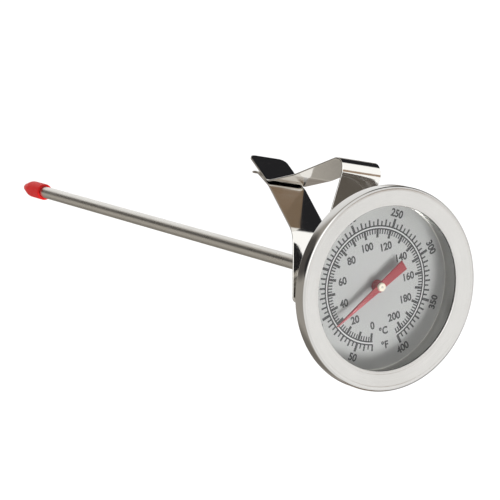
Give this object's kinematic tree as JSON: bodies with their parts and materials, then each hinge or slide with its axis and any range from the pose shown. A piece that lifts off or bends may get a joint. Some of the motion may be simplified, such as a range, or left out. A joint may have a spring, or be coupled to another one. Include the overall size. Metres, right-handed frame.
{
  "type": "dial thermometer",
  "caption": "Bimetal dial thermometer: round steel case with a glass lens and red pointer, long thin stem, sprung pot clip that slides on the stem, and a push-on tip guard.",
  "frame": {"origin": "on the stem's axis, in the plane of the case's back, where the stem leaves the case", "axes": "+Z along the stem towards the dial's face, so that the stem hangs down along -Z; +Y towards the dial's twelve o'clock; +X towards its three o'clock"},
  "size_m": [0.0514, 0.0555, 0.2145],
  "materials": {
    "bezel_steel": "satin, fine circular brushing",
    "case_steel": "satin pressed sheet",
    "spacer_bright": "bright polished",
    "dial_silver": "matt silver with printed black scales",
    "lens_glass": "clear",
    "seal_rubber": "matt black",
    "stem_steel": "drawn tube, lengthwise brushing",
    "clip_steel": "bright spring steel",
    "bush_brass": "turned",
    "pointer_red": "satin red paint",
    "hub_cream": "satin cream",
    "shaft_steel": "drawn wire",
    "coil_bimetal": "rolled strip",
    "guard_red": "soft matt vinyl"
  },
  "bodies": {
    "case": {"bezel_ring": "bezel_steel", "lens_gasket": "seal_rubber", "lens_glass": "lens_glass", "case_seal": "seal_rubber", "case_cup": "case_steel", "spacer_ring": "spacer_bright", "dial_plate": "dial_silver", "stem_collar": "case_steel", "lock_washer": "case_steel", "stem_tube": "stem_steel", "tip_plug": "stem_steel", "coil_anchor": "shaft_steel", "bimetal_coil": "coil_bimetal", "guide_bush_lower": "bush_brass", "guide_bush_middle": "bush_brass", "guide_bush_upper": "bush_brass"},
    "pointer": {"pointer": "pointer_red", "pointer_hub": "hub_cream", "pointer_boss": "pointer_red", "pointer_shaft": "shaft_steel", "coil_collar": "bush_brass"},
    "clip": {"pot_clip": "clip_steel"},
    "guard": {"tip_guard": "guard_red"}
  },
  "joints": [
    {"name": "pointer_turn", "type": "hinge", "parent": "case", "child": "pointer", "pos_m": [0, 0, 0.004], "axis": [0, 0, -1], "range_deg": [-50.4, 277.7], "stiffness_Nm_per_rad": 0.00002},
    {"name": "clip_slide", "type": "slide", "parent": "case", "child": "clip", "axis": [0, 0, 1], "range_m": [-0.16, 0.012]},
    {"name": "guard_pull", "type": "slide", "parent": "case", "child": "guard", "axis": [0, 0, -1], "range_m": [0, 0.03]}
  ]
}
